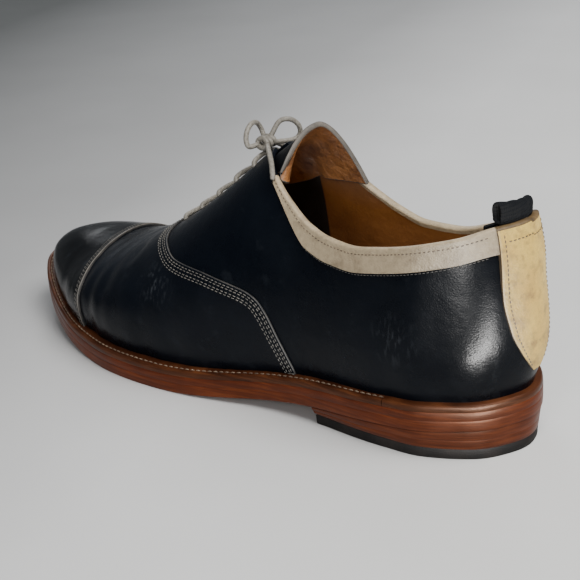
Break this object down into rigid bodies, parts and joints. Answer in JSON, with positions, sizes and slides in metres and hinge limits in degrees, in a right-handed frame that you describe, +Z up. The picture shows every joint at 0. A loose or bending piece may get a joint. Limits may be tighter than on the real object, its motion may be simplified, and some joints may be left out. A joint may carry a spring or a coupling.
{
  "type": "cap toe dress shoe",
  "caption": "Left cap toe oxford, closed lacing, with a contrasting collar band and back strip, a welted leather sole and a stacked heel.",
  "frame": {"origin": "on the floor, under the middle of the heel seat", "axes": "+X to the toe, +Y to the outer (lateral) side, +Z up from the floor"},
  "size_m": [0.3025, 0.1059, 0.1254],
  "materials": {
    "black_leather": "smooth calf, polished, fine grain and soft creases",
    "cream_leather": "cream leather, slightly soiled, satin",
    "sole_leather": "reddish brown burnished edge, waxed",
    "welt_leather": "dark brown leather, waxed",
    "heel_rubber": "dark rubber, matt",
    "insole_leather": "tan leather, matt",
    "lace": "round waxed cotton lace, grey beige",
    "loop_tape": "black woven tape, matt"
  },
  "bodies": {
    "root": {"outsole": "sole_leather", "midsole": "sole_leather", "welt": "welt_leather", "rand": "welt_leather", "heel_lift_1": "sole_leather", "heel_lift_2": "sole_leather", "top_piece": "heel_rubber", "insole": "insole_leather", "upper": "black_leather", "toe_cap": "black_leather", "collar_band_outer": "cream_leather", "collar_band_inner": "cream_leather", "back_strip": "cream_leather", "tongue": "black_leather", "pull_loop": "loop_tape", "lace_bar_1": "lace", "lace_bar_2": "lace", "lace_bar_3": "lace", "lace_bar_4": "lace", "lace_bar_5": "lace", "lace_knot": "lace", "lace_loop_outer": "lace", "lace_loop_inner": "lace", "lace_end_outer": "lace", "lace_end_inner": "lace"}
  },
  "joints": []
}
